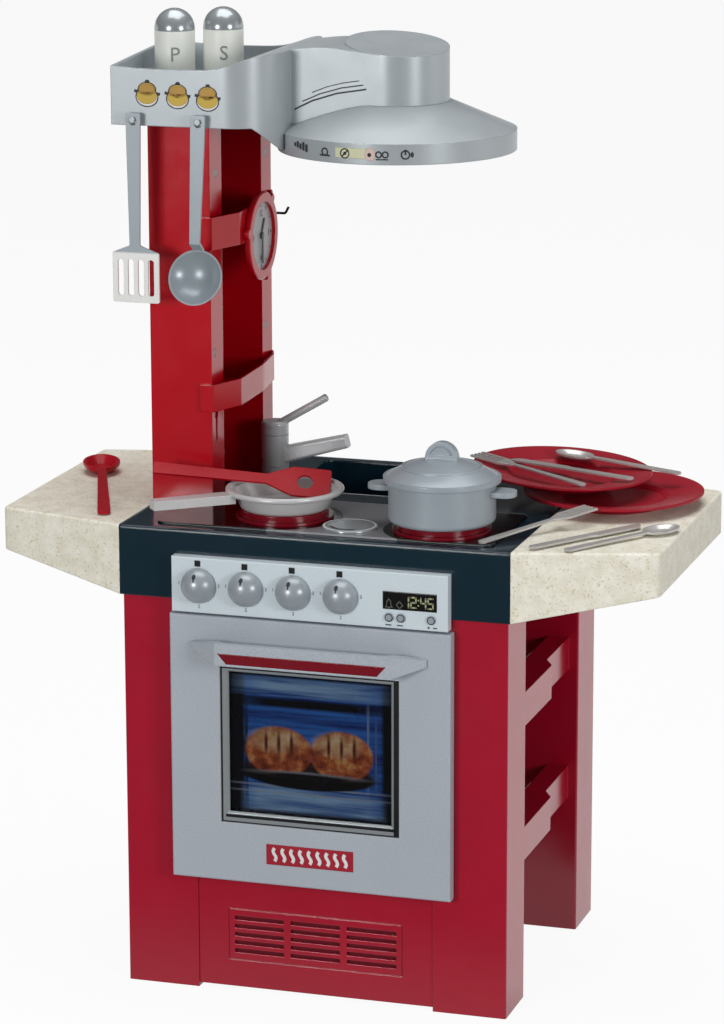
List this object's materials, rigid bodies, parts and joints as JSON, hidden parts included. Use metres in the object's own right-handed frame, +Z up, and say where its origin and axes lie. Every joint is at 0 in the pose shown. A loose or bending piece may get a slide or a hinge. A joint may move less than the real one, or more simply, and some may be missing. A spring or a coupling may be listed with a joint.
{
  "type": "toy play kitchen",
  "caption": "Free-standing toy kitchen with an oven, hob, sink and tap, a shelf tower, an extractor hood, and cookware and dishes.",
  "frame": {"origin": "middle of the footprint, on the floor", "axes": "+Z up, -Y towards the person playing, +X to the right as seen from the front"},
  "size_m": [0.6672, 0.379, 0.9525],
  "materials": {
    "red_body": "gloss",
    "red_tower": "gloss",
    "dark_plastic": "matte",
    "navy_top": "gloss",
    "hob_black": "gloss",
    "burner_red": "gloss",
    "silver_plastic": "satin",
    "cream_stone": "satin",
    "silver_panel": "satin",
    "display_black": "gloss",
    "dial_white": "satin",
    "hand_black": "matte",
    "hood_silver": "satin",
    "hook_wire": "satin",
    "screw_steel": "satin",
    "tap_silver": "satin",
    "window_clear": "clear",
    "picture_card": "satin",
    "knob_silver": "satin",
    "shaker_cream": "satin",
    "pot_grey": "satin",
    "pan_silver": "satin",
    "red_tools": "gloss",
    "tool_grey": "satin",
    "plate_red": "gloss",
    "cutlery_silver": "satin"
  },
  "bodies": {
    "kitchen": {"left_side_frame": "red_body", "right_side_frame": "red_body", "kick_panel": "red_body", "oven_cavity": "dark_plastic", "worktop": "navy_top", "hob_plate": "hob_black", "burner_rings": "burner_red", "hob_medallion": "silver_plastic", "left_wing": "cream_stone", "right_wing": "cream_stone", "control_panel": "silver_panel", "display_window": "display_black", "tower_shell": "red_tower", "upper_shelf": "red_tower", "lower_shelf": "red_tower", "clock_case": "red_tower", "clock_dial": "dial_white", "hood_shell": "hood_silver", "hood_canopy": "hood_silver", "towel_hook": "hook_wire", "tower_screws": "screw_steel", "tap_body": "tap_silver"},
    "door": {"door_shell": "silver_panel", "window_trim": "dark_plastic", "door_window": "window_clear", "oven_picture": "picture_card", "door_liner": "dark_plastic", "door_handle": "silver_panel", "handle_inlay": "burner_red", "door_hinge_pins": "screw_steel"},
    "knob_1": {"knob_1": "knob_silver"},
    "knob_2": {"knob_2": "knob_silver"},
    "knob_3": {"knob_3": "knob_silver"},
    "knob_4": {"knob_4": "knob_silver"},
    "button_1": {"button_1": "knob_silver"},
    "button_2": {"button_2": "knob_silver"},
    "button_3": {"button_3": "knob_silver"},
    "hour_hand": {"hour_hand": "hand_black"},
    "minute_hand": {"minute_hand": "hand_black"},
    "tap_spout": {"tap_spout": "tap_silver"},
    "tap_lever": {"tap_lever": "tap_silver"},
    "slotted_turner": {"slotted_turner": "tool_grey"},
    "ladle": {"ladle": "tool_grey"},
    "salt": {"salt_shaker": "shaker_cream", "salt_cap": "silver_plastic"},
    "pepper": {"pepper_shaker": "shaker_cream", "pepper_cap": "silver_plastic"},
    "pot": {"pot": "pot_grey"},
    "pot_lid": {"pot_lid": "pot_grey"},
    "pan": {"pan": "pan_silver"},
    "pan_turner": {"pan_turner": "red_tools"},
    "serving_spoon": {"serving_spoon": "red_tools"},
    "lower_plate": {"lower_plate": "plate_red"},
    "upper_plate": {"upper_plate": "plate_red"},
    "plate_fork": {"plate_fork": "cutlery_silver"},
    "plate_knife": {"plate_knife": "cutlery_silver"},
    "plate_spoon": {"plate_spoon": "cutlery_silver"},
    "wing_fork": {"wing_fork": "cutlery_silver"},
    "wing_knife": {"wing_knife": "cutlery_silver"},
    "wing_spoon": {"wing_spoon": "cutlery_silver"}
  },
  "joints": [
    {"name": "oven_door", "type": "hinge", "parent": "kitchen", "child": "door", "pos_m": [0, -0.1565, 0.1222], "axis": [1, 0, 0], "range_deg": [0, 88]},
    {"name": "knob_1_turn", "type": "hinge", "parent": "kitchen", "child": "knob_1", "pos_m": [-0.1114, -0.1715, 0.4164], "axis": [0, 1, 0], "range_deg": [-135, 135]},
    {"name": "knob_2_turn", "type": "hinge", "parent": "kitchen", "child": "knob_2", "pos_m": [-0.0634, -0.1715, 0.4164], "axis": [0, 1, 0], "range_deg": [-135, 135]},
    {"name": "knob_3_turn", "type": "hinge", "parent": "kitchen", "child": "knob_3", "pos_m": [-0.0154, -0.1715, 0.4164], "axis": [0, 1, 0], "range_deg": [-135, 135]},
    {"name": "knob_4_turn", "type": "hinge", "parent": "kitchen", "child": "knob_4", "pos_m": [0.0326, -0.1715, 0.4164], "axis": [0, 1, 0], "range_deg": [-135, 135]},
    {"name": "button_1_press", "type": "slide", "parent": "kitchen", "child": "button_1", "axis": [0, 1, 0], "range_m": [0, 0.0015], "stiffness_N_per_m": 300, "springref_m": -0.001},
    {"name": "button_2_press", "type": "slide", "parent": "kitchen", "child": "button_2", "axis": [0, 1, 0], "range_m": [0, 0.0015], "stiffness_N_per_m": 300, "springref_m": -0.001},
    {"name": "button_3_press", "type": "slide", "parent": "kitchen", "child": "button_3", "axis": [0, 1, 0], "range_m": [0, 0.0015], "stiffness_N_per_m": 300, "springref_m": -0.001},
    {"name": "hour_hand_turn", "type": "hinge", "parent": "kitchen", "child": "hour_hand", "pos_m": [-0.105, 0.0305, 0.727], "axis": [1, 0, 0], "continuous": true},
    {"name": "minute_hand_turn", "type": "hinge", "parent": "kitchen", "child": "minute_hand", "pos_m": [-0.105, 0.0305, 0.727], "axis": [1, 0, 0], "continuous": true},
    {"name": "spout_swing", "type": "hinge", "parent": "kitchen", "child": "tap_spout", "pos_m": [-0.113, 0.0725, 0.5], "axis": [0, 0, 1], "range_deg": [-40, 60]},
    {"name": "lever_turn", "type": "hinge", "parent": "kitchen", "child": "tap_lever", "pos_m": [-0.113, 0.0725, 0.523], "axis": [0, 0, 1], "range_deg": [-40, 60]},
    {"name": "slotted_turner_swing", "type": "hinge", "parent": "kitchen", "child": "slotted_turner", "pos_m": [-0.1965, -0.0995, 0.8563], "axis": [0, 1, 0], "range_deg": [-1.2, 14]},
    {"name": "ladle_swing", "type": "hinge", "parent": "kitchen", "child": "ladle", "pos_m": [-0.13, -0.0995, 0.8563], "axis": [0, 1, 0], "range_deg": [-14, 1.2]},
    {"name": "salt_lift", "type": "slide", "parent": "kitchen", "child": "salt", "axis": [0, 0, 1], "range_m": [0, 0.08]},
    {"name": "pepper_lift", "type": "slide", "parent": "kitchen", "child": "pepper", "axis": [0, 0, 1], "range_m": [0, 0.08]},
    {"name": "pot_lift", "type": "slide", "parent": "kitchen", "child": "pot", "axis": [0, 0, 1], "range_m": [0, 0.12]},
    {"name": "pot_lid_lift", "type": "slide", "parent": "pot", "child": "pot_lid", "axis": [0, 0, 1], "range_m": [0, 0.1]},
    {"name": "pan_lift", "type": "slide", "parent": "kitchen", "child": "pan", "axis": [0, 0, 1], "range_m": [0, 0.06]},
    {"name": "pan_turner_lift", "type": "slide", "parent": "pan", "child": "pan_turner", "axis": [0, 0, 1], "range_m": [0, 0.07]},
    {"name": "serving_spoon_lift", "type": "slide", "parent": "kitchen", "child": "serving_spoon", "axis": [0, 0, 1], "range_m": [0, 0.12]},
    {"name": "lower_plate_lift", "type": "slide", "parent": "kitchen", "child": "lower_plate", "axis": [0, 0, 1], "range_m": [0, 0.12]},
    {"name": "upper_plate_lift", "type": "slide", "parent": "lower_plate", "child": "upper_plate", "axis": [0, 0, 1], "range_m": [0, 0.1]},
    {"name": "plate_fork_lift", "type": "slide", "parent": "upper_plate", "child": "plate_fork", "axis": [0, 0, 1], "range_m": [0, 0.08]},
    {"name": "plate_knife_lift", "type": "slide", "parent": "upper_plate", "child": "plate_knife", "axis": [0, 0, 1], "range_m": [0, 0.08]},
    {"name": "plate_spoon_lift", "type": "slide", "parent": "upper_plate", "child": "plate_spoon", "axis": [0, 0, 1], "range_m": [0, 0.08]},
    {"name": "wing_knife_lift", "type": "slide", "parent": "kitchen", "child": "wing_knife", "axis": [0, 0, 1], "range_m": [0, 0.12]},
    {"name": "wing_spoon_lift", "type": "slide", "parent": "kitchen", "child": "wing_spoon", "axis": [0, 0, 1], "range_m": [0, 0.12]},
    {"name": "wing_fork_lift", "type": "slide", "parent": "kitchen", "child": "wing_fork", "axis": [0, 0, 1], "range_m": [0, 0.12]}
  ]
}
